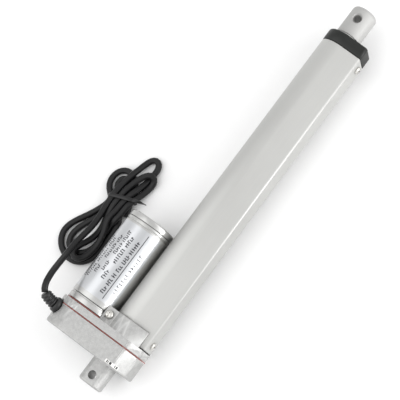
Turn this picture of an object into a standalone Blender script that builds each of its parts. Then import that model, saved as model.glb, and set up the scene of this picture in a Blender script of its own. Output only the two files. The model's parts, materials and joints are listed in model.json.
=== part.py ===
"""Electric linear actuator, 12 V class, 200 mm stroke, shown fully retracted and lying on its back.

Units are metres, +Z is up. X runs along the lead screw towards the front eye, +Y points from the
screw to the motor beside it. Pieces are drawn in the actuator's own frame, whose zero is the rear
pin hole on the screw axis. One empty carries that frame into the world, where the origin is the
middle of the body's footprint on the surface it lies on.
"""
import bmesh
import bpy
from math import acos, atan2, cos, hypot, pi, radians, sin, sqrt, tan
from mathutils import Matrix, Vector

MM = 0.001
GAP = 0.3 * MM                 # clearance kept between pieces that touch on the real object

# ---- driving dimensions -------------------------------------------------------------------------
HOLE_TO_HOLE = 320 * MM        # pin to pin, retracted
STROKE = 200 * MM
PIN_HOLE_RADIUS = 3.2 * MM
ROD_RADIUS = 10.0 * MM
LUG_RADIUS = 9.6 * MM
LUG_HALF_THICKNESS = 8.4 * MM
TUBE_RADIUS = 14.3 * MM        # round side of the extruded tube
TUBE_SIDE = 20.4 * MM          # screw axis to the flat narrow side
TUBE_SLOPE = radians(15.7)     # wide faces lean in towards the narrow side
TUBE_WALL = 2.0 * MM
MOTOR_OFFSET = 34.0 * MM       # screw axis to motor axis
MOTOR_RADIUS = 18.75 * MM
CASTING_RADIUS = 20.8 * MM     # round motor end of the gearbox, and its half thickness
CASTING_SIDE = 20.6 * MM
CASTING_CREASE = 12.4 * MM
CASTING_EDGE = 9.1 * MM        # half height of the narrow side face
COLLAR_WALL = 2.0 * MM

# ---- stations along X ---------------------------------------------------------------------------
REAR_TIP = -7.2 * MM
HOUSING_BACK = 11.2 * MM
HOUSING_FLOOR = 13.8 * MM
HOUSING_FRONT = 27.5 * MM
GASKET = (27.8 * MM, 28.3 * MM)
COVER_BACK = 28.6 * MM
COVER_FRONT = 34.0 * MM
MOTOR_GASKET = (34.3 * MM, 34.9 * MM)
MOTOR_RING = (35.2 * MM, 40.3 * MM)
MOTOR_CAN = (40.6 * MM, 107.4 * MM)
MOTOR_BELL = (107.7 * MM, 112.3 * MM)
TUBE_X = (34.9 * MM, 294.4 * MM)
COLLAR_FRONT = 46.1 * MM
CAP_X = (294.7 * MM, 304.4 * MM)
ROD_REAR = 60.4 * MM
ROD_FRONT = 306.0 * MM
FRONT_TIP = 329.8 * MM
BASE_SCREW_X = 40.7 * MM
CAP_SCREW_X = 289.3 * MM
NUT_FRONT = 70 * MM
THREAD_END = NUT_FRONT + STROKE + 3 * MM     # the nut's spigot stops short of the stop washer
SCREW_END = THREAD_END + 4 * MM

# ---- gear train ---------------------------------------------------------------------------------
PRESSURE_ANGLE = radians(25)
BACKLASH = 0.14 * MM
MOTOR_STAGE = {"module": 0.7 * MM, "pinion": 10, "wheel": 36}
SCREW_STAGE = {"module": 0.9 * MM, "pinion": 10, "wheel": 30}

# ---- resting place of the origin ----------------------------------------------------------------
SCREW_HEAD_OUT = 1.9 * MM
ORIGIN = Vector((
    (REAR_TIP + FRONT_TIP) / 2,
    (MOTOR_OFFSET + CASTING_RADIUS - TUBE_SIDE - SCREW_HEAD_OUT) / 2,
    -CASTING_RADIUS,
))

COLOURS = {                     # colour, roughness, metallic
    "cast_alloy": ((0.60, 0.60, 0.61), 0.55, 0.6),
    "anodised_tube": ((0.74, 0.74, 0.73), 0.38, 0.8),
    "rod_alloy": ((0.72, 0.72, 0.71), 0.35, 0.8),
    "black_plastic": ((0.03, 0.03, 0.03), 0.45, 0.0),
    "black_rubber": ((0.015, 0.015, 0.015), 0.6, 0.0),
    "red_gasket": ((0.35, 0.05, 0.04), 0.7, 0.0),
    "screw_steel": ((0.62, 0.62, 0.60), 0.3, 1.0),
    "motor_steel": ((0.70, 0.70, 0.70), 0.3, 0.9),
    "dark_steel": ((0.25, 0.25, 0.26), 0.35, 1.0),
    "bronze": ((0.50, 0.33, 0.14), 0.45, 0.9),
    "brass": ((0.70, 0.52, 0.20), 0.35, 1.0),
    "copper": ((0.60, 0.26, 0.12), 0.4, 0.8),
    "magnet": ((0.10, 0.10, 0.11), 0.7, 0.1),
    "white_nylon": ((0.82, 0.81, 0.76), 0.5, 0.0),
    "board_green": ((0.03, 0.20, 0.08), 0.5, 0.0),
    "carbon": ((0.04, 0.04, 0.04), 0.8, 0.0),
}


# ---- modelling helpers --------------------------------------------------------------------------
def clear_scene():
    for item in list(bpy.data.objects):
        bpy.data.objects.remove(item, do_unlink=True)


def material(name):
    found = bpy.data.materials.get(name)
    if found:
        return found
    colour, roughness, metallic = COLOURS[name]
    made = bpy.data.materials.new(name)
    made.use_nodes = True
    shader = made.node_tree.nodes["Principled BSDF"]
    shader.inputs["Base Color"].default_value = (*colour, 1)
    shader.inputs["Roughness"].default_value = roughness
    shader.inputs["Metallic"].default_value = metallic
    return made


def empty(name, location, parent=None):
    made = bpy.data.objects.new(name, None)
    made.location = location
    made.parent = parent
    bpy.context.collection.objects.link(made)
    return made


def from_bmesh(name, bm, finish, parent):
    """Close a bmesh into an object with outward faces and a material."""
    bmesh.ops.recalc_face_normals(bm, faces=bm.faces)
    mesh = bpy.data.meshes.new(name)
    bm.to_mesh(mesh)
    bm.free()
    mesh.shade_smooth()
    mesh.set_sharp_from_angle(angle=radians(35))
    made = bpy.data.objects.new(name, mesh)
    if finish:
        mesh.materials.append(material(finish))
    made.parent = parent
    bpy.context.collection.objects.link(made)
    return made


def turned(name, profile, finish, parent, centre=(0, 0), segments=32):
    """Revolve (x, radius) points about an axis along X. A profile that ends on the axis stays open."""
    bm = bmesh.new()
    points = [bm.verts.new((x, centre[0], centre[1] + r)) for x, r in profile]
    pairs = list(zip(points, points[1:]))
    if profile[0][1] > 0:
        pairs.append((points[-1], points[0]))
    edges = [bm.edges.new(pair) for pair in pairs]
    bmesh.ops.spin(bm, geom=points + edges, cent=(0, *centre), axis=(1, 0, 0),
                   angle=2 * pi, steps=segments, use_duplicate=False)
    bmesh.ops.remove_doubles(bm, verts=bm.verts, dist=1e-7)
    return from_bmesh(name, bm, finish, parent)


def ring(name, x0, x1, inner, outer, finish, parent, centre=(0, 0), segments=32):
    profile = [(x0, inner), (x0, outer), (x1, outer), (x1, inner)]
    return turned(name, profile, finish, parent, centre, segments)


def rod_along_x(name, x0, x1, radius, finish, parent, centre=(0, 0), segments=32):
    profile = [(x0, 0), (x0, radius), (x1, radius), (x1, 0)]
    return turned(name, profile, finish, parent, centre, segments)


def extruded(name, outline, x0, x1, finish, parent):
    """A prism along X over a closed (y, z) outline."""
    bm = bmesh.new()
    face = bm.faces.new([bm.verts.new((x0, y, z)) for y, z in outline])
    grown = bmesh.ops.extrude_face_region(bm, geom=[face])["geom"]
    moved = [v for v in grown if isinstance(v, bmesh.types.BMVert)]
    bmesh.ops.translate(bm, verts=moved, vec=(x1 - x0, 0, 0))
    return from_bmesh(name, bm, finish, parent)


def block(name, low, high, finish, parent):
    outline = [(low[1], low[2]), (high[1], low[2]), (high[1], high[2]), (low[1], high[2])]
    return extruded(name, outline, low[0], high[0], finish, parent)


def cylinder(name, start, end, radius, finish, parent, segments=20):
    """A plain cylinder between two points."""
    start, end = Vector(start), Vector(end)
    along = end - start
    turn = along.to_track_quat("Z", "Y").to_matrix().to_4x4()
    bm = bmesh.new()
    bmesh.ops.create_cone(bm, cap_ends=True, segments=segments, radius1=radius, radius2=radius,
                          depth=along.length, matrix=Matrix.Translation((start + end) / 2) @ turn)
    return from_bmesh(name, bm, finish, parent)


def combine(target, tool, operation):
    """Join or cut with a tool, which stays behind as a wire guide."""
    tool.hide_render = True
    tool.display_type = "WIRE"
    step = target.modifiers.new(operation.lower(), "BOOLEAN")
    step.operation = operation
    step.object = tool
    step.solver = "EXACT"


def join(target, tool):
    combine(target, tool, "UNION")


def cut(target, tool):
    combine(target, tool, "DIFFERENCE")


def drill(target, start, end, radius, segments=20):
    cut(target, cylinder("drill", start, end, radius, None, target.parent, segments))


def smooth_route(points, per_span, closed=False):
    """Points along a Catmull-Rom curve through the given ones."""
    knots = [Vector(p) for p in points]
    last = len(knots)
    if closed:
        knots = [knots[-1]] + knots + knots[:2]
    else:
        knots = [2 * knots[0] - knots[1]] + knots + [2 * knots[-1] - knots[-2]]
    spans = last if closed else last - 1
    out = []
    for i in range(spans):
        a, b, c, d = knots[i:i + 4]
        for step in range(per_span):
            t = step / per_span
            out.append(0.5 * (2 * b + (c - a) * t + (2 * a - 5 * b + 4 * c - d) * t ** 2
                              + (3 * b - a - 3 * c + d) * t ** 3))
    if not closed:
        out.append(knots[-2])
    return out


# ---- outlines across the axis -------------------------------------------------------------------
def arc(centre, radius, start, end, steps):
    return [(centre[0] + radius * cos(start + (end - start) * i / steps),
             centre[1] + radius * sin(start + (end - start) * i / steps))
            for i in range(steps + 1)]


def tube_outline(grow=0.0, side=None, steps=20):
    """Round towards the motor, two leaning faces, and a flat narrow side."""
    radius = TUBE_RADIUS + grow
    side = side or TUBE_SIDE + grow
    edge = (radius - side * sin(TUBE_SLOPE)) / cos(TUBE_SLOPE)
    reach = pi / 2 + TUBE_SLOPE
    return arc((0, 0), radius, -reach, reach, steps) + [(-side, edge), (-side, -edge)]


def casting_outline(grow=0.0, steps=18):
    """Round about the motor, flat front and back, a slanted facet and a narrow side face."""
    run = CASTING_SIDE - CASTING_CREASE
    drop = CASTING_RADIUS - CASTING_EDGE
    length = hypot(run, drop)
    normal = (drop / length, run / length)             # facet normal in (-y, z)
    reach = normal[0] * CASTING_SIDE + normal[1] * CASTING_EDGE + grow
    top = CASTING_RADIUS + grow
    side = CASTING_SIDE + grow
    crease = (reach - normal[1] * top) / normal[0]
    edge = (reach - normal[0] * side) / normal[1]
    front = [(-crease, top), (-side, edge)]
    back = [(-side, -edge), (-crease, -top)]
    return arc((MOTOR_OFFSET, 0), top, -pi / 2, pi / 2, steps) + front + back


def gear_outline(module, teeth, turn):
    """Involute teeth, with short tips so that small pinions need no undercut. A tooth faces turn."""
    pitch = module * teeth / 2
    base = pitch * cos(PRESSURE_ANGLE)
    tip = pitch + 0.85 * module
    root = pitch - 1.10 * module
    half = pi / (2 * teeth) - BACKLASH / (4 * pitch) + tan(PRESSURE_ANGLE) - PRESSURE_ANGLE
    low = max(base, root)
    radii = [low + (tip - low) * i / 3 for i in range(4)]
    flank = []
    for radius in radii:
        angle = acos(min(1.0, base / radius))
        flank.append((radius, half - (tan(angle) - angle)))
    if root < base:
        flank.insert(0, (root, flank[0][1]))
    out = []
    for tooth in range(teeth):
        middle = turn + 2 * pi * tooth / teeth
        rising = [(r, middle - a) for r, a in flank]
        falling = [(r, middle + a) for r, a in reversed(flank)]
        out += [(r * cos(a), r * sin(a)) for r, a in rising + falling]
    return out


# ---- gearbox and tube ---------------------------------------------------------------------------
GEARBOX_SCREWS = [(-10.2 * MM, 17.2 * MM), (-10.2 * MM, -17.2 * MM),
                  (37.0 * MM, 17.0 * MM), (37.0 * MM, -17.0 * MM)]
MOTOR_SCREWS = [(38.0 * MM, 8.5 * MM), (38.0 * MM, -8.5 * MM)]
EAR_SCREW = (40.6 * MM, 15.0 * MM)
COLLAR_END = 16.6 * MM          # the collar stops short of the tube's narrow side
BORE_RADIUS = TUBE_RADIUS - TUBE_WALL
CHANNEL = (-18.5 * MM, -8.0 * MM, 7.2 * MM)   # switch channel: y from, y to, half height

# The cable outlet points out of the casting's round end, raised from the motor's side.
RELIEF_X = 24.0 * MM
RELIEF_TILT = radians(38)
RELIEF_SEAT = 18.7 * MM         # motor axis to the flat seat under the flange
RELIEF_FLANGE = 5.7 * MM
RELIEF_END = 33.6 * MM
RELIEF_LEAN = 2.0 * MM          # the boot's end gives towards the front eye


def stage_distance(stage):
    return stage["module"] * (stage["pinion"] + stage["wheel"]) / 2


def relief_point(distance, lean=0.0):
    """A point on the cable outlet's axis, measured from the motor's axis."""
    return Vector((RELIEF_X + lean, MOTOR_OFFSET + distance * cos(RELIEF_TILT),
                   distance * sin(RELIEF_TILT)))


def idler_axis():
    """The idler stands where both stages mesh: two circles' crossing, on the front side."""
    to_screw = stage_distance(SCREW_STAGE)
    to_motor = stage_distance(MOTOR_STAGE)
    y = (MOTOR_OFFSET ** 2 + to_screw ** 2 - to_motor ** 2) / (2 * MOTOR_OFFSET)
    return y, sqrt(max(0.0, to_screw ** 2 - y ** 2))


IDLER = idler_axis()


def gear_pocket():
    """Room for the wheels: two rounds joined by straight sides."""
    wide, narrow = 16.4 * MM, 14.0 * MM
    lean = (wide - narrow) / MOTOR_OFFSET
    start = pi / 2 - lean
    return (arc((MOTOR_OFFSET, 0), narrow, -start, start, 14)
            + arc((0, 0), wide, start, 2 * pi - start, 18))


def relief_seat(body):
    """Spot face under the outlet's flange. It also bites into the gasket and the cover's edge."""
    drill(body, relief_point(RELIEF_SEAT), relief_point(30 * MM), RELIEF_FLANGE + 0.5 * MM, 28)


def gearbox_housing(parent):
    """Cast cup with the rear lug in one piece."""
    body = extruded("gearbox_housing", casting_outline(), HOUSING_BACK, HOUSING_FRONT,
                    "cast_alloy", parent)
    lug = rod_along_x("lug_form", REAR_TIP, HOUSING_BACK + 1 * MM, LUG_RADIUS, None, parent)
    for side in (1, -1):
        flat = sorted((side * LUG_HALF_THICKNESS, side * 15 * MM))
        cut(lug, block("lug_flat", (REAR_TIP - 1 * MM, -12 * MM, flat[0]),
                       (HOUSING_BACK, 12 * MM, flat[1]), None, parent))
    join(body, lug)
    cut(body, extruded("gear_pocket", gear_pocket(), HOUSING_FLOOR, COVER_FRONT, None, parent))
    drill(body, (0, 0, -15 * MM), (0, 0, 15 * MM), PIN_HOLE_RADIUS, 24)
    drill(body, (9.5 * MM, 0, 0), (15 * MM, 0, 0), 5.3 * MM, 24)
    drill(body, (12.4 * MM, *IDLER), (15 * MM, *IDLER), 2.3 * MM)
    drill(body, relief_point(10 * MM), relief_point(30 * MM), 3.0 * MM)
    relief_seat(body)
    for y, z in GEARBOX_SCREWS:
        drill(body, (HOUSING_BACK - 1 * MM, y, z), (HOUSING_FRONT + 1 * MM, y, z), 1.8 * MM, 12)
        drill(body, (HOUSING_BACK - 1 * MM, y, z), (HOUSING_BACK + 3 * MM, y, z), 3.0 * MM, 16)
    return body


def gearbox_cover(parent):
    """Cast flange with the motor seat, the collar round the tube and its screw ears."""
    body = extruded("gearbox_cover", casting_outline(), COVER_BACK, COVER_FRONT,
                    "cast_alloy", parent)
    foot = COVER_FRONT - 1 * MM
    join(body, extruded("collar_form", tube_outline(COLLAR_WALL, COLLAR_END), foot, COLLAR_FRONT,
                        None, parent))
    for side in (1, -1):
        ear = sorted((side * 5.5 * MM, side * 12.3 * MM))
        join(body, block("ear_form", (foot, 8 * MM, ear[0]), (COLLAR_FRONT, 20 * MM, ear[1]),
                         None, parent))
    top = COLLAR_FRONT + 5 * MM
    cut(body, extruded("tube_pocket", tube_outline(GAP), COVER_FRONT, top, None, parent))
    cut(body, rod_along_x("motor_room", COVER_FRONT, top, MOTOR_RADIUS + 0.45 * MM, None, parent,
                          (MOTOR_OFFSET, 0), 48))
    cut(body, block("collar_gap", (COVER_FRONT, 11 * MM, -5.5 * MM), (top, 22 * MM, 5.5 * MM),
                    None, parent))
    join(body, block("tube_spigot", (foot, -17.9 * MM, -6.6 * MM),
                     (45.5 * MM, -13.4 * MM, 6.6 * MM), None, parent))
    drill(body, (COVER_BACK - 1 * MM, 0, 0), (COVER_FRONT, 0, 0), 8.0 * MM, 28)
    drill(body, (29.1 * MM, 0, 0), (COVER_FRONT + 1 * MM, 0, 0), 11.3 * MM, 32)
    drill(body, (COVER_BACK - 1 * MM, MOTOR_OFFSET, 0), (COVER_FRONT + 1 * MM, MOTOR_OFFSET, 0),
          5.0 * MM, 24)
    drill(body, (COVER_BACK - 1 * MM, *IDLER), (31.2 * MM, *IDLER), 2.3 * MM)
    for y, z in GEARBOX_SCREWS:
        drill(body, (COVER_BACK - 1 * MM, y, z), (33.2 * MM, y, z), 1.8 * MM, 12)
    for y, z in MOTOR_SCREWS:
        drill(body, (COVER_BACK - 1 * MM, y, z), (COVER_FRONT + 1 * MM, y, z), 1.6 * MM, 12)
    relief_seat(body)
    drill(body, (BASE_SCREW_X, -19 * MM, 0), (BASE_SCREW_X, -14.0 * MM, 0), 1.8 * MM, 12)
    drill(body, (EAR_SCREW[0], EAR_SCREW[1], 8.5 * MM), (EAR_SCREW[0], EAR_SCREW[1], 15 * MM),
          1.6 * MM, 12)
    return body


def gaskets(parent):
    """Thin red seals under the cover and under the motor."""
    seal = extruded("housing_gasket", casting_outline(), *GASKET, "red_gasket", parent)
    cut(seal, extruded("gasket_room", gear_pocket(), GASKET[0] - 1 * MM, GASKET[1] + 1 * MM,
                       None, parent))
    for y, z in GEARBOX_SCREWS:
        drill(seal, (GASKET[0] - 1 * MM, y, z), (GASKET[1] + 1 * MM, y, z), 1.8 * MM, 12)
    relief_seat(seal)
    ring("motor_gasket", *MOTOR_GASKET, 14.5 * MM, MOTOR_RADIUS, "red_gasket", parent,
         (MOTOR_OFFSET, 0), 48)


def screw_along(name, head, direction, head_size, shank_size, parent):
    """Pan head screw: head point under the head, and direction the way the shank goes."""
    head, direction = Vector(head), Vector(direction)
    head_radius, head_height = head_size
    shank_radius, shank_length = shank_size
    turn = direction.to_track_quat("X", "Z").to_matrix().to_4x4()
    place = Matrix.Translation(head) @ turn
    crown = head_radius * 0.72
    profile = [(-head_height, 0), (-head_height, crown), (-head_height * 0.45, head_radius),
               (0, head_radius), (0, shank_radius), (shank_length, shank_radius),
               (shank_length, 0)]
    made = turned(name, profile, "screw_steel", parent, segments=16)
    made.data.transform(place)
    return made


def fasteners(parent):
    pan = (2.9 * MM, 1.8 * MM)
    seat = -TUBE_SIDE - 0.1 * MM
    screw_along("cap_side_screw", (CAP_SCREW_X, seat, 0), (0, 1, 0), pan, (1.4 * MM, 6 * MM), parent)
    screw_along("tube_side_screw", (BASE_SCREW_X, seat, 0), (0, 1, 0), pan, (1.4 * MM, 6 * MM),
                parent)
    screw_along("collar_screw", (*EAR_SCREW, 12.6 * MM), (0, 0, -1), (3.1 * MM, 1.9 * MM),
                (1.25 * MM, 3.8 * MM), parent)
    for index, (y, z) in enumerate(GEARBOX_SCREWS, 1):
        screw_along(f"gearbox_screw_{index}", (HOUSING_BACK + 2.7 * MM, y, z), (1, 0, 0),
                    (2.7 * MM, 1.9 * MM), (1.45 * MM, 18.5 * MM), parent)
    for index, (y, z) in enumerate(MOTOR_SCREWS, 1):
        screw_along(f"motor_screw_{index}", (COVER_BACK - GAP, y, z), (1, 0, 0),
                    (2.4 * MM, 1.6 * MM), (1.25 * MM, 9.5 * MM), parent)


def outer_tube(parent):
    """Extruded tube with a round bore and a side channel for the limit switches."""
    tube = extruded("outer_tube", tube_outline(), *TUBE_X, "anodised_tube", parent)
    ends = (TUBE_X[0] - 1 * MM, TUBE_X[1] + 1 * MM)
    cut(tube, rod_along_x("tube_bore", *ends, BORE_RADIUS, None, parent))
    low, high, half = CHANNEL
    cut(tube, block("channel", (ends[0], low, -half), (ends[1], high, half), None, parent))
    for x in (BASE_SCREW_X, CAP_SCREW_X):
        drill(tube, (x, -TUBE_SIDE - 1 * MM, 0), (x, -16 * MM, 0), 1.8 * MM, 12)


def front_cap(parent):
    """Black nose cap with its spigot in the tube, the wiper and the rod's guide bush."""
    cap = extruded("front_cap", tube_outline(0.1 * MM), *CAP_X, "black_plastic", parent)
    spigot = 284.5 * MM
    join(cap, rod_along_x("spigot_form", spigot, CAP_X[0] + 1 * MM, 12.0 * MM, None, parent))
    join(cap, block("spigot_block", (spigot, -18.1 * MM, -6.8 * MM),
                    (CAP_X[0] + 1 * MM, -9 * MM, 6.8 * MM), None, parent))
    cut(cap, rod_along_x("cap_bore", spigot - 1 * MM, CAP_X[1] + 1 * MM, ROD_RADIUS + 0.4 * MM,
                         None, parent))
    cut(cap, rod_along_x("wiper_seat", 300.4 * MM, CAP_X[1] + 1 * MM, 12.6 * MM, None, parent))
    drill(cap, (CAP_SCREW_X, -20 * MM, 0), (CAP_SCREW_X, -13.6 * MM, 0), 1.8 * MM, 12)
    ring("rod_wiper", 300.7 * MM, 304.2 * MM, ROD_RADIUS + GAP, 12.3 * MM, "black_rubber", parent)
    ring("rod_bush", 276.0 * MM, spigot - GAP, ROD_RADIUS + GAP, 12.0 * MM, "bronze", parent)


def limit_switches(parent):
    """Switch board along the side channel with a switch at each end of the stroke."""
    block("switch_board", (46.5 * MM, -18.1 * MM, -5 * MM), (276 * MM, -17.1 * MM, 5 * MM),
          "board_green", parent)
    for name, x in (("rear_limit_switch", 46.5 * MM), ("front_limit_switch", 260.6 * MM)):
        block(name, (x, -16.8 * MM, -3 * MM), (x + 7 * MM, -12.6 * MM, 3 * MM), "black_plastic",
              parent)


# ---- motor --------------------------------------------------------------------------------------
def motor_shell(parent):
    """Can, front ring, end bell, two magnets, two bushes and two brushes."""
    axis = (MOTOR_OFFSET, 0)
    ring_part = ring("motor_front_ring", *MOTOR_RING, 5.0 * MM, MOTOR_RADIUS, "motor_steel",
                     parent, axis, 48)
    for y, z in MOTOR_SCREWS:
        drill(ring_part, (MOTOR_RING[0] - 1 * MM, y, z), (38.6 * MM, y, z), 1.5 * MM, 12)
    ring("motor_can", *MOTOR_CAN, MOTOR_RADIUS - 1.2 * MM, MOTOR_RADIUS, "motor_steel", parent,
         axis, 48)
    bell = [(MOTOR_BELL[0], 4.8 * MM), (MOTOR_BELL[0], MOTOR_RADIUS),
            (MOTOR_BELL[1] - 0.8 * MM, MOTOR_RADIUS), (MOTOR_BELL[1], MOTOR_RADIUS - 0.8 * MM),
            (MOTOR_BELL[1], 0)]
    bell = [(MOTOR_BELL[1] - 0.6 * MM, 0), (MOTOR_BELL[1] - 0.6 * MM, 4.8 * MM)] + bell
    turned("motor_end_bell", bell, "motor_steel", parent, axis, 48)
    ring("motor_bush_front", MOTOR_RING[0] + 0.4 * MM, MOTOR_RING[1] - GAP, 1.9 * MM, 4.7 * MM,
         "bronze", parent, axis, 20)
    ring("motor_bush_rear", MOTOR_BELL[0] + GAP, MOTOR_BELL[1] - 0.9 * MM, 1.9 * MM, 4.5 * MM,
         "bronze", parent, axis, 20)
    for name, middle in (("magnet_front", pi / 2), ("magnet_back", -pi / 2)):
        outside = arc(axis, 17.2 * MM, middle - 0.95, middle + 0.95, 10)
        inside = arc(axis, 14.0 * MM, middle + 0.95, middle - 0.95, 10)
        extruded(name, outside + inside, 52 * MM, 92 * MM, "magnet", parent)
    for name, side in (("brush_front", 1), ("brush_back", -1)):
        span = sorted((side * 5.4 * MM, side * 12.0 * MM))
        block(name, (97 * MM, MOTOR_OFFSET - 2 * MM, span[0]),
              (102 * MM, MOTOR_OFFSET + 2 * MM, span[1]), "carbon", parent)


def armature_outline(poles=7):
    """Laminations: broad pole faces on narrow teeth."""
    face, waist, hub = 13.3 * MM, 11.6 * MM, 5.5 * MM
    wide, thin = 0.84 * pi / poles, 0.30 * pi / poles
    out = []
    for pole in range(poles):
        middle = 2 * pi * pole / poles
        steps = [(hub, -2.2 * thin), (waist, -thin), (waist, -wide), (face, -wide), (face, 0),
                 (face, wide), (waist, wide), (waist, thin), (hub, 2.2 * thin)]
        out += [(r * cos(middle + a), r * sin(middle + a)) for r, a in steps]
    return out


def armature(axis):
    """Everything that turns with the motor, drawn about the motor's axis."""
    rod_along_x("motor_shaft", 19.4 * MM, 110.6 * MM, 1.6 * MM, "dark_steel", axis, segments=16)
    core = extruded("armature_core", armature_outline(), 56 * MM, 88 * MM, "dark_steel", axis)
    drill(core, (55 * MM, 0, 0), (89 * MM, 0, 0), 1.9 * MM, 16)
    for name, x0, x1 in (("winding_front", 49 * MM, 55.7 * MM), ("winding_rear", 88.3 * MM, 94 * MM)):
        profile = [(x0, 1.9 * MM), (x0, 8.5 * MM), ((x0 + x1) / 2, 10.8 * MM), (x1, 10.2 * MM),
                   (x1, 1.9 * MM)]
        turned(name, profile, "copper", axis, segments=24)
    ring("commutator", 95.5 * MM, 103.5 * MM, 1.9 * MM, 5.0 * MM, "copper", axis, segments=20)
    stage = MOTOR_STAGE
    turn = atan2(IDLER[1], IDLER[0] - MOTOR_OFFSET)    # a tooth faces the idler
    pinion = extruded("motor_pinion", gear_outline(stage["module"], stage["pinion"], turn),
                      19.6 * MM, 27.4 * MM, "brass", axis)
    drill(pinion, (19 * MM, 0, 0), (28 * MM, 0, 0), 1.85 * MM, 16)


# ---- gears and screw ----------------------------------------------------------------------------
def idler(axis, parent):
    """Nylon double gear on a fixed pin."""
    wheel, small = MOTOR_STAGE, SCREW_STAGE
    to_motor = atan2(-IDLER[1], MOTOR_OFFSET - IDLER[0])
    to_screw = atan2(-IDLER[1], -IDLER[0])
    gap_turn = to_motor + pi / wheel["wheel"]          # a tooth space faces the motor pinion
    gear = extruded("idler_gear", gear_outline(wheel["module"], wheel["wheel"], gap_turn),
                    21.2 * MM, 26.2 * MM, "white_nylon", axis)
    join(gear, extruded("idler_small", gear_outline(small["module"], small["pinion"], to_screw),
                        14.7 * MM, 21.6 * MM, None, axis))
    drill(gear, (14 * MM, 0, 0), (27 * MM, 0, 0), 2.3 * MM, 20)
    rod_along_x("idler_pin", 12.7 * MM, 30.8 * MM, 2.0 * MM, "dark_steel", parent, IDLER, 16)


def screw_thread_profile():
    """Journals at the gearbox end, the thread's major diameter and the stop washer's seat."""
    return [(9.9 * MM, 0), (9.9 * MM, 3.0 * MM), (14.6 * MM, 3.0 * MM), (14.6 * MM, 3.9 * MM),
            (37.4 * MM, 3.9 * MM), (37.4 * MM, 5.0 * MM), (THREAD_END, 5.0 * MM),
            (THREAD_END, 2.4 * MM), (SCREW_END, 2.4 * MM), (SCREW_END, 0)]


def lead_screw(axis, parent):
    """The screw, its wheel, the retaining ring and stop washer, and the fixed bearings."""
    turned("lead_screw", screw_thread_profile(), "dark_steel", axis, segments=24)
    stage = SCREW_STAGE
    to_idler = atan2(IDLER[1], IDLER[0])
    gap_turn = to_idler + pi / stage["wheel"]          # a tooth space faces the idler's small gear
    wheel = extruded("screw_gear", gear_outline(stage["module"], stage["wheel"], gap_turn),
                     15.0 * MM, 20.2 * MM, "white_nylon", axis)
    drill(wheel, (14 * MM, 0, 0), (21 * MM, 0, 0), 4.2 * MM, 24)
    ring("retaining_ring", 36.1 * MM, 37.1 * MM, 4.2 * MM, 6.2 * MM, "dark_steel", axis,
         segments=24)
    ring("stop_washer", THREAD_END + GAP, THREAD_END + 1.8 * MM, 2.7 * MM, 7.6 * MM,
         "screw_steel", axis, segments=24)
    ring("screw_bearing", 29.4 * MM, 35.8 * MM, 4.2 * MM, 11.0 * MM, "screw_steel", parent)
    ring("screw_rear_bush", 9.8 * MM, 13.6 * MM, 3.3 * MM, 5.0 * MM, "bronze", parent, segments=20)


# ---- pieces that slide with the rod -------------------------------------------------------------
def rod_group(axis):
    """Nut, striker for the switches, rod, front eye and the pin that holds the eye."""
    nut = [(48 * MM, 5.3 * MM), (48 * MM, 11.9 * MM), (60.0 * MM, 11.9 * MM),
           (60.0 * MM, 8.1 * MM), (NUT_FRONT, 8.1 * MM), (NUT_FRONT, 5.3 * MM)]
    turned("drive_nut", nut, "white_nylon", axis)
    block("switch_striker", (54 * MM, -16.2 * MM, -2.5 * MM), (60 * MM, -12.3 * MM, 2.5 * MM),
          "brass", axis)
    rod = ring("inner_rod", ROD_REAR, ROD_FRONT, 8.5 * MM, ROD_RADIUS, "rod_alloy", axis,
               segments=40)
    pin_x = 297 * MM
    drill(rod, (pin_x, -12 * MM, 0), (pin_x, 12 * MM, 0), 1.8 * MM, 12)
    plug = 8.2 * MM
    shoulder = ROD_FRONT + GAP
    round_in = 2.2 * MM
    round_along = 3.2 * MM
    profile = [(288 * MM, 0), (288 * MM, plug), (shoulder, plug), (shoulder, ROD_RADIUS)]
    for step in range(7):
        turn = step / 6 * pi / 2
        profile.append((FRONT_TIP - round_along * (1 - sin(turn)),
                        ROD_RADIUS - round_in * (1 - cos(turn))))
    profile.append((FRONT_TIP, 0))
    eye = turned("front_eye", profile, "rod_alloy", axis, segments=40)
    drill(eye, (HOLE_TO_HOLE, 0, -15 * MM), (HOLE_TO_HOLE, 0, 15 * MM), PIN_HOLE_RADIUS, 24)
    drill(eye, (pin_x, -12 * MM, 0), (pin_x, 12 * MM, 0), 1.8 * MM, 12)
    cylinder("eye_pin", (pin_x, -9.6 * MM, 0), (pin_x, 9.6 * MM, 0), 1.5 * MM, "dark_steel", axis,
             12)


# ---- cable --------------------------------------------------------------------------------------
CABLE_RADIUS = 2.4 * MM
FLOOR = -CASTING_RADIUS
LEAD_ROUTE = [                  # out of the boot, over and down onto the hank; heights over the floor
    (26.5, 61.2, 42.0), (28.0, 62.2, 43.2), (30.6, 63.4, 43.6), (34.0, 64.9, 42.7),
    (38.4, 66.6, 40.2), (43.4, 68.5, 36.2), (48.6, 70.7, 31.0), (53.9, 72.9, 25.6),
    (59.0, 74.6, 21.2), (63.5, 75.8, 18.6),
]
HANK_OUTLINE = [                # (x, y) round the two lobes and the tied waist
    (53.8, 76.0), (56.5, 86.5), (62.5, 96.0), (73.0, 99.5), (86.0, 95.5), (98.0, 87.5),
    (107.5, 84.5), (115.0, 88.5), (123.0, 93.0), (131.0, 93.2), (138.5, 88.5), (143.5, 80.0),
    (154.0, 75.0), (159.5, 69.5), (157.0, 65.0), (148.0, 61.0), (140.0, 58.0), (130.0, 56.8),
    (119.0, 61.0), (108.0, 63.0), (93.0, 61.5), (80.0, 60.0), (65.0, 62.0), (56.0, 68.0),
]
HANK_HEIGHT = (0.3, 15.3)       # over the floor
TIE_ENDS = ((110.8, 90.0), (121.8, 57.4))


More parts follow.
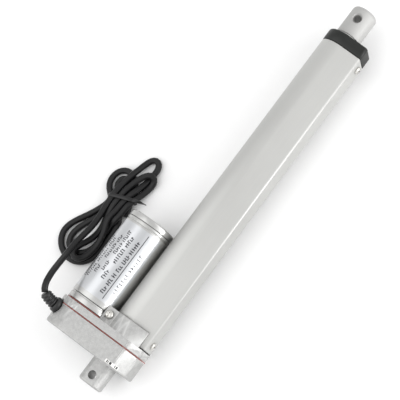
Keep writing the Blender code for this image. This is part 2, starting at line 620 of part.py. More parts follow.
def strain_relief(parent):
    """Rubber boot: a stem in the outlet, a thick flange, four ribs and a slight lean at its end."""
    thick = 5.0 * MM
    seat = RELIEF_SEAT + GAP
    neck = seat + thick
    rings = [(12 * MM, 2.6), (seat, 2.6), (seat, 5.7), (seat + 0.7 * thick, 5.7), (neck, 5.2),
             (neck, 4.0)]
    ribs = 4
    pitch = (RELIEF_END - 0.6 * MM - neck) / ribs
    for rib in range(ribs):
        wide = 4.5 - 0.12 * rib
        for share, radius in ((0.18, 3.9), (0.30, wide), (0.78, wide), (0.90, 3.9)):
            rings.append((neck + (rib + share) * pitch, radius))
    rings.append((RELIEF_END, 3.5))
    sides = 20
    bm = bmesh.new()
    loops = []
    for distance, radius in rings:
        bend = max(0.0, (distance - neck) / (RELIEF_END - neck))
        centre = relief_point(distance, RELIEF_LEAN * bend ** 2)
        turn = atan2(2 * RELIEF_LEAN * bend, RELIEF_END - neck)
        out = Vector((sin(turn), cos(turn) * cos(RELIEF_TILT), cos(turn) * sin(RELIEF_TILT)))
        across = Vector((0, -sin(RELIEF_TILT), cos(RELIEF_TILT)))
        side_on = out.cross(across)
        loop = []
        for side in range(sides):
            angle = 2 * pi * side / sides
            spoke = across * cos(angle) + side_on * sin(angle)
            loop.append(bm.verts.new(centre + radius * MM * spoke))
        loops.append(loop)
    for near, far in zip(loops, loops[1:]):
        for side in range(sides):
            after = (side + 1) % sides
            bm.faces.new((near[side], near[after], far[after], far[side]))
    bm.faces.new(loops[0])
    bm.faces.new(loops[-1])
    from_bmesh("strain_relief", bm, "black_rubber", parent)


def cord_curve(name, points, radius, finish, parent):
    """A solid tube along a smooth curve through the points, with closed ends."""
    curve = bpy.data.curves.new(name, "CURVE")
    curve.dimensions = "3D"
    curve.bevel_depth = radius
    curve.bevel_resolution = 2
    curve.use_fill_caps = True
    spline = curve.splines.new("POLY")
    spline.points.add(len(points) - 1)
    for point, place in zip(spline.points, points):
        point.co = (*place, 1)
    curve.materials.append(material(finish))
    made = bpy.data.objects.new(name, curve)
    made.parent = parent
    bpy.context.collection.objects.link(made)


def over_floor(x, y, height):
    """A place given in millimetres along, across and over the floor."""
    return Vector((x * MM, y * MM, FLOOR + height * MM))


def cable(parent):
    """The lead, the hank it is folded into and the wire tie round the hank's waist."""
    lead = smooth_route([over_floor(*point) for point in LEAD_ROUTE], 2)
    cord_curve("lead_cord", lead, CABLE_RADIUS, "black_rubber", parent)
    low, high = HANK_HEIGHT
    outline = smooth_route([over_floor(x, y, low) for x, y in HANK_OUTLINE], 2, closed=True)
    bm = bmesh.new()
    face = bm.faces.new([bm.verts.new(place) for place in outline])
    grown = bmesh.ops.extrude_face_region(bm, geom=[face])["geom"]
    moved = [v for v in grown if isinstance(v, bmesh.types.BMVert)]
    bmesh.ops.translate(bm, verts=moved, vec=(0, 0, (high - low) * MM))
    from_bmesh("cord_hank", bm, "black_rubber", parent)
    wire = 0.7
    top = high + wire + 0.3
    saddle = []
    for share, height in ((0, 2), (0, 9), (0.02, top - 0.9), (0.1, top), (0.5, top),
                          (0.9, top), (0.98, top - 0.9), (1, 9), (1, 2)):
        (x0, y0), (x1, y1) = TIE_ENDS
        saddle.append(over_floor(x0 + share * (x1 - x0), y0 + share * (y1 - y0), height))
    cord_curve("cord_tie", smooth_route(saddle, 2), wire * MM, "black_rubber", parent)


# ---- assembly -----------------------------------------------------------------------------------
def build():
    clear_scene()
    actuator = empty("actuator", -ORIGIN)
    motor_axis = empty("motor_axis", (0, MOTOR_OFFSET, 0), actuator)
    idler_centre = empty("idler_axis", (0, *IDLER), actuator)
    screw_axis = empty("screw_axis", (0, 0, 0), actuator)
    rod_axis = empty("rod_axis", (0, 0, 0), actuator)
    gearbox_housing(actuator)
    gearbox_cover(actuator)
    gaskets(actuator)
    fasteners(actuator)
    outer_tube(actuator)
    front_cap(actuator)
    limit_switches(actuator)
    motor_shell(actuator)
    armature(motor_axis)
    idler(idler_centre, actuator)
    lead_screw(screw_axis, actuator)
    rod_group(rod_axis)
    strain_relief(actuator)
    cable(actuator)


build()
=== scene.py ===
import json
from math import atan2, cos, pi, radians, sin, sqrt

import bmesh
import bpy
import numpy as np
from mathutils import Matrix, Vector


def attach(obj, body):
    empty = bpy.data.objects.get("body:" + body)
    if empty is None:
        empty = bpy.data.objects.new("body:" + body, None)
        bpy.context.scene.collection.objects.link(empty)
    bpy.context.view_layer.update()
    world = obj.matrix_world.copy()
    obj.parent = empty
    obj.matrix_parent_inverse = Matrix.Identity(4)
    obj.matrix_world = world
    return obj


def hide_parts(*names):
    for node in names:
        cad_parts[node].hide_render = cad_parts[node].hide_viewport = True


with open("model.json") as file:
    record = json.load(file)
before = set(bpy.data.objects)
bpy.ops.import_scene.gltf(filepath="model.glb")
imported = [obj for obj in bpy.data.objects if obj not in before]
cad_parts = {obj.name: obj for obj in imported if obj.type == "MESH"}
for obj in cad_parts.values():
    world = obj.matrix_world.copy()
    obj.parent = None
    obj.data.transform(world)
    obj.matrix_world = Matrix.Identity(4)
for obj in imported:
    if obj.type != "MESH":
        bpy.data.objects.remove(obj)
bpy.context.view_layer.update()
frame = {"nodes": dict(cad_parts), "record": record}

MM = 0.001
FLOOR_DROP = 20.8                    # screw axis over the floor
ORIGIN = (161.3, 16.25, -FLOOR_DROP)


def place(x, y, z):
    """A point of the actuator's frame, in the part's frame in metres."""
    return Vector(((x - ORIGIN[0]) * MM, (y - ORIGIN[1]) * MM, (z - ORIGIN[2]) * MM))


# ---- camera -------------------------------------------------------------------------------------
camera = bpy.data.objects.new("camera", bpy.data.cameras.new("camera"))
bpy.context.scene.collection.objects.link(camera)
eye = Vector((-0.1411, -0.32515, 0.8931))
target = Vector((-0.01268, 0.0083, 0.0))
back = (eye - target).normalized()
level = Vector((0, 0, 1)).cross(back).normalized()
rise = back.cross(level)
roll = radians(-33.5)
right = level * cos(roll) + rise * sin(roll)
up = back.cross(right)
camera.matrix_world = Matrix((
    (right.x, up.x, back.x, eye.x), (right.y, up.y, back.y, eye.y),
    (right.z, up.z, back.z, eye.z), (0, 0, 0, 1)))
camera.data.lens = 117.04
camera.data.sensor_width = 36
camera.data.clip_start = 0.01
bpy.context.scene.camera = camera

# ---- cable --------------------------------------------------------------------------------------
CABLE = 4.8                          # across the sheath
# x, y and height over the floor of the cable's middle
ROUTE = [
    # the lead, out of the boot and down onto the hank
    (26.5, 61.2, 42.0), (28.0, 62.2, 43.2), (30.6, 63.4, 43.6), (34.0, 64.9, 42.7),
    (38.4, 66.6, 40.2), (43.4, 68.5, 36.2), (48.6, 70.7, 31.0), (53.9, 72.9, 25.6),
    (59.0, 74.6, 21.2), (63.5, 75.8, 18.6), (70.0, 76.9, 15.6), (76.5, 77.0, 13.2),
    (83.0, 76.6, 11.2), (90.0, 76.9, 9.6), (97.0, 77.7, 8.6), (104.0, 78.6, 7.9),
    (112.0, 79.6, 7.4),
    # long upper fold
    (119.0, 79.6, 7.4), (126.0, 78.8, 7.4), (133.0, 77.6, 7.4), (140.0, 76.4, 5.6),
    (146.6, 75.8, 3.0), (152.4, 74.4, 2.5), (156.0, 70.4, 2.5), (153.8, 65.8, 2.5),
    (148.0, 64.2, 2.5), (141.0, 64.8, 2.5), (134.0, 65.8, 3.8), (127.0, 67.0, 6.0),
    (120.0, 68.6, 7.4), (112.0, 69.8, 7.4),
    # narrow lower fold, back beside the lead
    (104.0, 70.6, 7.2), (96.0, 70.0, 6.8), (86.0, 66.8, 7.0), (76.0, 65.4, 6.9),
    (66.0, 66.4, 6.9), (60.0, 69.8, 6.9), (58.4, 74.5, 6.9), (61.6, 78.6, 6.9),
    (68.0, 78.4, 5.2), (76.0, 74.6, 4.0), (84.0, 72.2, 4.0), (92.0, 72.6, 4.6),
    (100.0, 74.0, 6.2), (106.0, 74.6, 7.2), (112.0, 74.7, 7.4),
    # right-hand upper fold
    (120.0, 74.2, 7.4), (127.0, 73.0, 7.4), (134.0, 71.0, 7.4), (140.0, 68.4, 7.4),
    (143.8, 64.6, 7.0), (142.6, 60.8, 4.5), (138.0, 60.0, 2.5), (132.0, 61.2, 2.5),
    (125.0, 62.8, 4.0), (118.0, 64.3, 6.8), (112.0, 64.9, 7.4),
    # second lower fold
    (104.0, 65.6, 7.2), (95.0, 67.6, 4.6), (86.0, 67.6, 2.5), (77.0, 67.6, 2.5),
    (69.5, 69.6, 2.5), (64.4, 74.2, 2.5), (62.6, 80.0, 2.5), (64.4, 85.6, 2.5),
    (69.4, 89.0, 2.5), (76.0, 89.2, 2.5), (84.0, 86.2, 2.5), (92.0, 82.2, 2.5),
    (100.0, 78.8, 2.5), (106.0, 76.0, 2.5), (112.0, 74.7, 2.5),
    # inner left-hand upper fold
    (116.5, 77.4, 2.5), (119.8, 81.8, 2.5), (124.4, 85.4, 2.5), (129.6, 84.6, 2.5),
    (131.8, 80.4, 2.5), (129.6, 76.2, 2.5), (124.4, 73.4, 2.5), (118.0, 71.2, 2.5),
    (112.0, 69.8, 2.5),
    # outer lower fold
    (104.0, 67.6, 2.5), (95.0, 63.6, 2.5), (85.0, 62.6, 2.5), (75.0, 62.6, 2.5),
    (66.0, 64.5, 2.5), (59.6, 69.4, 2.5), (56.6, 77.0, 2.5), (58.0, 85.2, 2.5),
    (62.6, 92.2, 2.5), (70.0, 96.6, 2.5), (78.0, 95.8, 2.5), (86.0, 91.6, 2.5),
    (94.0, 86.8, 2.5), (102.0, 83.0, 2.5), (108.0, 80.8, 2.5), (113.0, 80.2, 2.5),
    # outer left-hand upper fold, then the end under the tie
    (114.4, 83.4, 2.5), (117.4, 88.2, 2.5), (122.4, 91.2, 2.5), (128.4, 91.4, 2.5),
    (133.8, 89.0, 2.5), (136.8, 84.2, 2.5), (136.4, 78.6, 2.5), (132.6, 73.4, 2.5),
    (126.8, 69.6, 2.5), (120.6, 67.0, 2.5), (113.0, 64.6, 2.5), (106.5, 62.4, 2.5),
]
WAIST_X = 115.0                      # where the tie holds the bundle
CABLE_STEP = 2.4                     # between points of the cable's middle line
CABLE_SIDES = 24
GROOVE = 0.2                         # depth of the groove between the cores, of the radius


def spline(points, step):
    """A Catmull-Rom curve through the points, with a point every step."""
    p = np.array(points, float)
    p = np.vstack([2 * p[0] - p[1], p, 2 * p[-1] - p[-2]])
    fine = []
    for i in range(len(p) - 3):
        a, b, c, d = p[i:i + 4]
        for t in np.linspace(0, 1, 12, endpoint=False):
            fine.append(0.5 * (2 * b + (c - a) * t + (2 * a - 5 * b + 4 * c - d) * t * t
                               + (3 * b - a - 3 * c + d) * t ** 3))
    fine.append(p[-2])
    fine = np.array(fine)
    run = np.r_[0, np.cumsum(np.linalg.norm(np.diff(fine, axis=0), axis=1))]
    at = np.linspace(0, run[-1], int(round(run[-1] / step)) + 1)
    return np.array([np.interp(at, run, fine[:, k]) for k in range(3)]).T


def settle(home, rounds):
    """The cable pushes itself apart, straightens a little and sinks onto the floor."""
    p = home.copy()
    index = np.arange(len(p))
    not_neighbours = np.abs(index[:, None] - index[None]) > 4
    on_lead = home[:, 2] > 16
    for _ in range(rounds):
        between = p[:, None] - p[None]
        distance = np.linalg.norm(between, axis=2)
        share = np.where(not_neighbours & (distance < CABLE),
                         (CABLE - distance) / np.maximum(distance, 0.3), 0)
        push = 0.35 * (share[:, :, None] * between).sum(1)
        size = np.linalg.norm(push, axis=1, keepdims=True)
        p += push * np.minimum(1, 0.8 / np.maximum(size, 1e-9))
        p[1:-1] += 0.4 * (0.25 * (p[:-2] + p[2:]) - 0.5 * p[1:-1])
        p[:, :2] += 0.05 * (home - p)[:, :2]
        p[:, 2] += np.where(on_lead, 0.2 * (home - p)[:, 2], 0.02 * (home - p)[:, 2] - 0.02)
        strap = 0.7 * np.exp(-((p[:, 0] - WAIST_X) / 7) ** 2)
        p[:, 2] = np.maximum(p[:, 2], CABLE / 2 + 0.05 + strap)
        p[:4] = home[:4]
    return p


def mesh_object(name, vertices, faces, smooth=True):
    """A named piece with its faces turned outwards."""
    mesh = bpy.data.meshes.new(name)
    mesh.from_pydata([tuple(v) for v in vertices], [], faces)
    mesh.update()
    work = bmesh.new()
    work.from_mesh(mesh)
    bmesh.ops.recalc_face_normals(work, faces=work.faces)
    work.to_mesh(mesh)
    work.free()
    if smooth:
        mesh.polygons.foreach_set("use_smooth", [True] * len(mesh.polygons))
    piece = bpy.data.objects.new(name, mesh)
    bpy.context.scene.collection.objects.link(piece)
    return piece


def skin(loops, closed=False):
    """Faces between loops of equal length: a ring when closed, or with its two ends filled."""
    around = len(loops[0])
    vertices = [v for loop in loops for v in loop]
    faces = []
    for i in range(len(loops) if closed else len(loops) - 1):
        near, far = i * around, (i + 1) % len(loops) * around
        for k in range(around):
            after = (k + 1) % around
            faces.append((near + k, near + after, far + after, far + k))
    if not closed:
        faces.append(tuple(range(around)))
        last = (len(loops) - 1) * around
        faces.append(tuple(range(last, last + around)))
    return vertices, faces


def cable_loops(path):
    """A twin cable: two cores side by side under one sheath, with a groove above and below."""
    loops = []
    for i, point in enumerate(path):
        ahead = Vector((path[min(i + 1, len(path) - 1)] - path[max(i - 1, 0)]).tolist())
        ahead.normalize()
        side = ahead.cross(Vector((0, 0, 1))).normalized()
        over = side.cross(ahead)
        loop = []
        for k in range(CABLE_SIDES):
            angle = 2 * pi * k / CABLE_SIDES
            radius = CABLE / 2 * (1 - GROOVE * np.exp(-(cos(angle) / 0.3) ** 2))
            spoke = side * cos(angle) + over * sin(angle)
            loop.append(place(*point) + spoke * float(radius) * MM)
        loops.append(loop)
    return loops


def over_floor(points):
    """Heights over the floor turned into the actuator's z."""
    return np.array(points, float) - [0, 0, FLOOR_DROP]


cable_path = over_floor(settle(spline(ROUTE, CABLE_STEP), 160))
cable = mesh_object("cable", *skin(cable_loops(cable_path)))

# ---- materials ----------------------------------------------------------------------------------
SMUDGE_SHARE = 0.45                  # of the broad noise in the mix with the fine one
NOISE_LOW, NOISE_HIGH = 0.3, 0.7     # the stretch that the noise mostly keeps to


def finish(name, colour, rough, metallic, grain=900.0, stretch=(1, 1, 1), spread=0.06,
           rough_spread=0.06, bump=0.08, smudge=70.0, edge=0.0, rim_sheen_and_wear=0.6,
           coat=0.0, shine=0.5):
    """A Principled material: fine grain and broad smudges vary its colour, roughness and relief.

    edge is the radius of the softened edges in millimetres; their rims are painted lighter, a
    painted highlight that partly stands for rubbed wear.
    """
    made = bpy.data.materials.new(name)
    made.use_nodes = True
    tree = made.node_tree
    tree.nodes.clear()
    new, link = tree.nodes.new, tree.links.new
    output = new("ShaderNodeOutputMaterial")
    shader = new("ShaderNodeBsdfPrincipled")
    link(shader.outputs["BSDF"], output.inputs["Surface"])
    shader.inputs["Metallic"].default_value = metallic
    shader.inputs["Coat Weight"].default_value = coat
    shader.inputs["Coat Roughness"].default_value = 0.25
    shader.inputs["Specular IOR Level"].default_value = shine
    where = new("ShaderNodeTexCoord")
    along = new("ShaderNodeMapping")
    along.inputs["Scale"].default_value = stretch
    link(where.outputs["Object"], along.inputs["Vector"])
    fine = new("ShaderNodeTexNoise")
    fine.inputs["Scale"].default_value = grain
    fine.inputs["Detail"].default_value = 4
    fine.inputs["Roughness"].default_value = 0.6
    link(along.outputs["Vector"], fine.inputs["Vector"])
    broad = new("ShaderNodeTexNoise")
    broad.inputs["Scale"].default_value = smudge
    broad.inputs["Detail"].default_value = 3
    link(where.outputs["Object"], broad.inputs["Vector"])
    both = new("ShaderNodeMath")
    both.operation = "MULTIPLY_ADD"
    link(fine.outputs["Fac"], both.inputs[0])
    both.inputs[1].default_value = 1 - SMUDGE_SHARE
    half = new("ShaderNodeMath")
    half.operation = "MULTIPLY"
    link(broad.outputs["Fac"], half.inputs[0])
    half.inputs[1].default_value = SMUDGE_SHARE
    link(half.outputs["Value"], both.inputs[2])
    ramp = new("ShaderNodeValToRGB")
    ramp.color_ramp.elements[0].position = NOISE_LOW
    ramp.color_ramp.elements[1].position = NOISE_HIGH
    ramp.color_ramp.elements[0].color = (*[c * (1 - spread) for c in colour], 1)
    ramp.color_ramp.elements[1].color = (*[min(1.0, c * (1 + spread)) for c in colour], 1)
    link(both.outputs["Value"], ramp.inputs["Fac"])
    colour_out = ramp.outputs["Color"]
    gloss = new("ShaderNodeMapRange")
    gloss.inputs["From Min"].default_value = NOISE_LOW
    gloss.inputs["From Max"].default_value = NOISE_HIGH
    gloss.inputs["To Min"].default_value = rough - rough_spread
    gloss.inputs["To Max"].default_value = rough + rough_spread
    link(both.outputs["Value"], gloss.inputs["Value"])
    link(gloss.outputs["Result"], shader.inputs["Roughness"])
    relief = new("ShaderNodeBump")
    relief.inputs["Strength"].default_value = bump
    relief.inputs["Distance"].default_value = 0.0002
    link(fine.outputs["Fac"], relief.inputs["Height"])
    if edge:
        # painted highlight: where the bevelled normal turns away from the true one, the base
        # colour is lightened; this is partly rubbed wear
        edge_bevel = new("ShaderNodeBevel")
        edge_bevel.samples = 6
        edge_bevel.inputs["Radius"].default_value = edge * MM
        link(edge_bevel.outputs["Normal"], relief.inputs["Normal"])
        shape = new("ShaderNodeNewGeometry")
        turned = new("ShaderNodeVectorMath")
        turned.operation = "DOT_PRODUCT"
        link(edge_bevel.outputs["Normal"], turned.inputs[0])
        link(shape.outputs["True Normal"], turned.inputs[1])
        rim = new("ShaderNodeMapRange")
        rim.inputs["From Min"].default_value = 0.99
        rim.inputs["From Max"].default_value = 0.90
        rim.inputs["To Max"].default_value = rim_sheen_and_wear
        link(turned.outputs["Value"], rim.inputs["Value"])
        lighter = new("ShaderNodeMix")
        lighter.data_type = "RGBA"
        link(rim.outputs["Result"], lighter.inputs["Factor"])
        link(colour_out, lighter.inputs["A"])
        lighter.inputs["B"].default_value = (*[min(0.95, 1.9 * c) for c in colour], 1)
        colour_out = lighter.outputs["Result"]
    link(colour_out, shader.inputs["Base Color"])
    link(relief.outputs["Normal"], shader.inputs["Normal"])
    return made


ALONG = (0.02, 1, 1)                 # streaks drawn out along X
AROUND = (1, 0.05, 0.05)             # turning marks round X
LOOKS = {
    "cast_alloy": finish("cast_alloy_skin", (0.42, 0.42, 0.414), 0.50, 0.75, 1300, bump=0.9,
                         spread=0.22, smudge=420, edge=0.7),
    # the tube's lightened corner line is a painted highlight
    "anodised_tube": finish("anodised_satin", (0.49, 0.49, 0.477), 0.50, 0.70, 1600, ALONG,
                            spread=0.05, bump=0.06, smudge=22, edge=0.9, rim_sheen_and_wear=0.2),
    "rod_alloy": finish("ground_rod", (0.42, 0.418, 0.41), 0.58, 0.45, 2600, AROUND, spread=0.06,
                        bump=0.06, smudge=60),
    "cap_plastic": finish("moulded_nylon_black", (0.010, 0.011, 0.010), 0.42, 0.0, 1800,
                          bump=0.12, spread=0.25, edge=0.3, shine=0.32),
    "switch_plastic": finish("switch_moulding", (0.03, 0.03, 0.033), 0.42, 0.0, bump=0.1),
    "seal_rubber": finish("wiper_rubber", (0.012, 0.012, 0.012), 0.62, 0.0, 1400, bump=0.15),
    "cable_rubber": finish("soft_sheath", (0.008, 0.008, 0.0085), 0.42, 0.0, 1400,
                           bump=0.10, spread=0.25, shine=0.3),
    "tie_plastic": finish("tie_nylon", (0.007, 0.007, 0.0075), 0.30, 0.0, 900, bump=0.06,
                          shine=0.4),
    "red_gasket": finish("gasket_fibre", (0.30, 0.085, 0.07), 0.66, 0.0, 2400, bump=0.35,
                         spread=0.2),
    "screw_steel": finish("zinc_plate", (0.62, 0.61, 0.58), 0.30, 1.0, 1900, spread=0.10,
                          bump=0.10, smudge=260, edge=0.15),
    "motor_steel": finish("nickel_can", (0.50, 0.50, 0.49), 0.32, 0.97, 2200, ALONG, spread=0.08,
                          bump=0.08, smudge=60),
    "dark_steel": finish("black_oxide", (0.09, 0.09, 0.095), 0.38, 0.9, 1700, AROUND, bump=0.1),
    "lamination": finish("lamination_stack", (0.17, 0.16, 0.15), 0.45, 0.9, 3000, (1, 0.04, 0.04),
                         spread=0.3, bump=0.4),
    "bearing_steel": finish("bearing_race", (0.60, 0.60, 0.61), 0.2, 1.0, 2400, AROUND),
    "bronze": finish("sintered_bronze", (0.42, 0.26, 0.12), 0.42, 1.0, 2600, bump=0.3,
                     spread=0.2),
    "brass": finish("brass_strip", (0.62, 0.45, 0.18), 0.28, 1.0, 1800, ALONG),
    "copper": finish("enamelled_copper", (0.48, 0.18, 0.07), 0.32, 1.0, 2600, (0.06, 1, 1),
                     spread=0.3, bump=0.4),
    "magnet": finish("ferrite", (0.055, 0.055, 0.06), 0.58, 0.1, 1700, bump=0.2, spread=0.2),
    "carbon": finish("brush_carbon", (0.028, 0.028, 0.03), 0.55, 0.3, 2600, bump=0.3, spread=0.3),
    "nylon": finish("natural_nylon", (0.70, 0.68, 0.60), 0.40, 0.0, 1100, spread=0.05, bump=0.1,
                    coat=0.1),
    "board": finish("board_laminate", (0.03, 0.15, 0.06), 0.42, 0.0, 1600, spread=0.2, bump=0.1,
                    coat=0.3),
}
PRINT = finish("printed_ink", (0.02, 0.021, 0.026), 0.5, 0.0, 2600, spread=0.5, bump=0.08)
FOIL = finish("label_foil", (0.56, 0.57, 0.585), 0.32, 0.95, 1300, ALONG, spread=0.04, bump=0.04)
STICKER = finish("sticker_paper", (0.86, 0.85, 0.82), 0.55, 0.0, 1500, spread=0.03, bump=0.08)

SLOT_OF = {entry["node"]: entry["material_slot"] for entry in frame["record"]["subparts"]}
BODY_OF = {node: body for body, nodes in frame["record"]["behaviour"]["bodies"].items()
           for node in nodes}
for node, thing in frame["nodes"].items():
    look = LOOKS[SLOT_OF[node]]
    for holder in thing.material_slots:
        holder.material = look
    if not thing.material_slots:
        thing.data.materials.append(look)


def stand(piece, look, *nodes, slot=None):
    """The piece takes its finish, rides its body and stands for the CAD nodes it replaces."""
    piece.data.materials.clear()
    piece.data.materials.append(look)
    body = "housing"
    if nodes:
        body = BODY_OF[nodes[0]]
        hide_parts(*nodes)
    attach(piece, body)


# ---- making -------------------------------------------------------------------------------------
def refined(node, form):
    """A copy of a CAD node trimmed to a form with rounded edges, its curved faces smooth."""
    source = frame["nodes"][node]
    work = bmesh.new()
    work.from_mesh(source.data)
    work.transform(source.matrix_world)
    bmesh.ops.remove_doubles(work, verts=work.verts, dist=2e-6)
    bmesh.ops.recalc_face_normals(work, faces=work.faces)
    mesh = bpy.data.meshes.new("fine_" + node)
    work.to_mesh(mesh)
    work.free()
    piece = bpy.data.objects.new("fine_" + node, mesh)
    bpy.context.scene.collection.objects.link(piece)
    piece = carve(piece, form, operation="INTERSECT")
    piece.data.set_sharp_from_angle(angle=radians(30))
    even = piece.modifiers.new("even_normals", "WEIGHTED_NORMAL")
    even.weight, even.keep_sharp = 100, True
    stand(piece, LOOKS[SLOT_OF[node]], node)


def lathe(name, profile, start, direction, around=96, closed=False):
    """A profile of (distance, radius) turned about a line from start."""
    direction = Vector(direction).normalized()
    side = direction.orthogonal().normalized()
    over = direction.cross(side)
    loops = []
    for distance, radius in profile:
        middle = Vector(start) + direction * distance
        loops.append([place(*(middle + radius * (side * cos(2 * pi * k / around)
                                                 + over * sin(2 * pi * k / around))))
                      for k in range(around)])
    return mesh_object(name, *skin(loops, closed))


def eased(before, corner, after, reach, steps):
    """Points round a corner, from reach before it to reach after it."""
    c = Vector(corner)
    a = c + (Vector(before) - c).normalized() * reach
    b = c + (Vector(after) - c).normalized() * reach
    return [a * (1 - t) ** 2 + c * 2 * t * (1 - t) + b * t * t
            for t in (k / steps for k in range(steps + 1))]


def rounded(corners, radii):
    """A profile of (distance, radius) with its corners rounded; a radius of 0 keeps one sharp."""
    out = []
    for i, (corner, radius) in enumerate(zip(corners, radii)):
        if not radius:
            out.append(corner)
            continue
        before, after = corners[i - 1], corners[i + 1]
        reach = min(radius, (Vector(before) - Vector(corner)).length * 0.5,
                    (Vector(after) - Vector(corner)).length * 0.5)
        out += [tuple(point) for point in eased(before, corner, after, reach, 5)]
    return out


def carve(piece, *tools, operation="DIFFERENCE"):
    """The tools are cut out of the piece, or combined with it, and then removed."""
    for tool in tools:
        cut = piece.modifiers.new("cut", "BOOLEAN")
        cut.operation = operation
        cut.solver = "EXACT"
        cut.object = tool
    bpy.context.view_layer.update()
    seen = piece.evaluated_get(bpy.context.evaluated_depsgraph_get())
    piece.data = bpy.data.meshes.new_from_object(seen)
    piece.modifiers.clear()
    for tool in tools:
        bpy.data.objects.remove(tool)
    piece.data.polygons.foreach_set("use_smooth", [True] * len(piece.data.polygons))
    return piece


def box_tool(name, middle, half, axes):
    """A box about middle with half sizes along three axes."""
    vertices = []
    for sx in (-1, 1):
        for sy in (-1, 1):
            for sz in (-1, 1):
                vertices.append(place(*(Vector(middle) + axes[0] * half[0] * sx
                                        + axes[1] * half[1] * sy + axes[2] * half[2] * sz)))
    return mesh_object(name, vertices, [(0, 1, 3, 2), (4, 6, 7, 5), (0, 4, 5, 1), (2, 3, 7, 6),
                                        (0, 2, 6, 4), (1, 5, 7, 3)], smooth=False)


# ---- tube and cap outlines ----------------------------------------------------------------------
TUBE_RADIUS = 14.3
TUBE_SIDE = 20.4
TUBE_SLOPE = radians(15.7)
TUBE_START, TUBE_END = 34.9, 294.4
TUBE_CORNER, CAP_CORNER = 1.3, 2.2
TUBE_POINTS = 220
ROD_R = 10.0
CAP_BORE = 10.4                      # the hole in the cap, which clears the rod


def tube_outline(grow, corner, count=168):
    """(y, z) round the tube, evenly spaced: round to the motor, two leaning faces, flat side."""
    radius, side = TUBE_RADIUS + grow, TUBE_SIDE + grow
    edge = (radius - side * sin(TUBE_SLOPE)) / cos(TUBE_SLOPE)
    reach = pi / 2 + TUBE_SLOPE
    line = [Vector((radius * cos(a), radius * sin(a)))
            for a in (reach * (k / 44.5 - 1) for k in range(90))]
    for y, z, before, after in ((-side, edge, line[-1], Vector((-side, -edge))),
                                (-side, -edge, Vector((-side, edge)), line[0])):
        line += eased(before, (y, z), after, corner, 8)
    line.append(line[0])
    run = np.r_[0, np.cumsum([(b - a).length for a, b in zip(line, line[1:])])]
    at = np.linspace(0, run[-1], count, endpoint=False)
    ys = np.interp(at, run, [v.x for v in line])
    zs = np.interp(at, run, [v.y for v in line])
    return list(zip(ys.tolist(), zs.tolist()))


def circle_like(outline, radius):
    """A circle whose points stand at the outline's own angles."""
    return [(radius * cos(atan2(z, y)), radius * sin(atan2(z, y))) for y, z in outline]


def along(name, sections, closed=True):
    """Skin over (x, outline) sections."""
    return mesh_object(name, *skin([[place(x, y, z) for y, z in outline]
                                    for x, outline in sections], closed))


tube_edge = tube_outline(0.0, TUBE_CORNER, TUBE_POINTS)
tube_rim = tube_outline(-0.25, TUBE_CORNER, TUBE_POINTS)
hollow = circle_like(tube_edge, TUBE_RADIUS - 2)
tube = along("tube_profile", [
    (TUBE_START, tube_rim), (TUBE_START + 0.25, tube_edge), (TUBE_END - 0.25, tube_edge),
    (TUBE_END, tube_rim), (TUBE_END, hollow), (TUBE_START, hollow)])
tube.data.set_sharp_from_angle(angle=radians(50))
stand(tube, LOOKS["anodised_tube"], "outer_tube")

seal_edge = tube_outline(-0.1, TUBE_CORNER, TUBE_POINTS)
seal = along("tube_seal", [(34.1, seal_edge), (34.8, seal_edge), (34.8, hollow), (34.1, hollow)])
stand(seal, LOOKS["seal_rubber"], slot="seal_rubber")

cap_edge = tube_outline(0.1, CAP_CORNER)
cap = along("nose_cap", [
    (294.7, tube_outline(-0.3, CAP_CORNER)), (295.0, cap_edge), (303.0, cap_edge),
    (303.7, tube_outline(-0.1, CAP_CORNER)), (304.2, tube_outline(-0.55, CAP_CORNER)),
    (304.4, tube_outline(-1.2, CAP_CORNER)), (304.4, circle_like(cap_edge, 12.9)),
    (304.1, circle_like(cap_edge, 12.5)), (300.4, circle_like(cap_edge, 12.5)),
    (300.4, circle_like(cap_edge, CAP_BORE)), (294.7, circle_like(cap_edge, CAP_BORE))])
cap.data.set_sharp_from_angle(angle=radians(60))
stand(cap, LOOKS["cap_plastic"], "front_cap")

wiper = lathe("wiper_lips", rounded(
    [(0, 10.3), (0, 12.3), (3.2, 12.3), (3.5, 11.4), (2.6, 10.9), (3.4, 10.3), (0, 10.3)],
    [0, 0.3, 0.3, 0.3, 0.3, 0.3, 0]), (300.7, 0, 0), (1, 0, 0), closed=True)
stand(wiper, LOOKS["seal_rubber"], "rod_wiper")

# ---- rod and eye --------------------------------------------------------------------------------
rod = lathe("rod_sleeve", [(60.4, 9.7), (60.7, ROD_R), (305.7, ROD_R), (306.0, 9.8),
                           (306.0, 8.5), (60.4, 8.5)], (0, 0, 0), (1, 0, 0), 128, closed=True)
rod.data.set_sharp_from_angle(angle=radians(50))
stand(rod, LOOKS["rod_alloy"], "inner_rod")

EYE_TIP, EYE_HOLE_X = 329.8, 320
dome = [(288.0, 0.4), (288.0, 8.2), (306.3, 8.2), (306.3, 9.8), (306.6, ROD_R)]
dome += [(EYE_TIP - 3.2 * (1 - sin(t)), ROD_R - 2.2 * (1 - cos(t)))
         for t in np.linspace(0, pi / 2, 9)] + [(EYE_TIP, 0.4)]
eye_end = lathe("eye_end", dome, (0, 0, 0), (1, 0, 0))
eye_end = carve(eye_end, lathe("eye_drill", [(-14, 4.6), (-10.4, 4.6), (-8.6, 3.2), (8.6, 3.2),
                                             (10.4, 4.6), (14, 4.6)],
                               (EYE_HOLE_X, 0, 0), (0, 0, 1), 64))
eye_end.data.set_sharp_from_angle(angle=radians(28))
stand(eye_end, LOOKS["rod_alloy"], "front_eye")

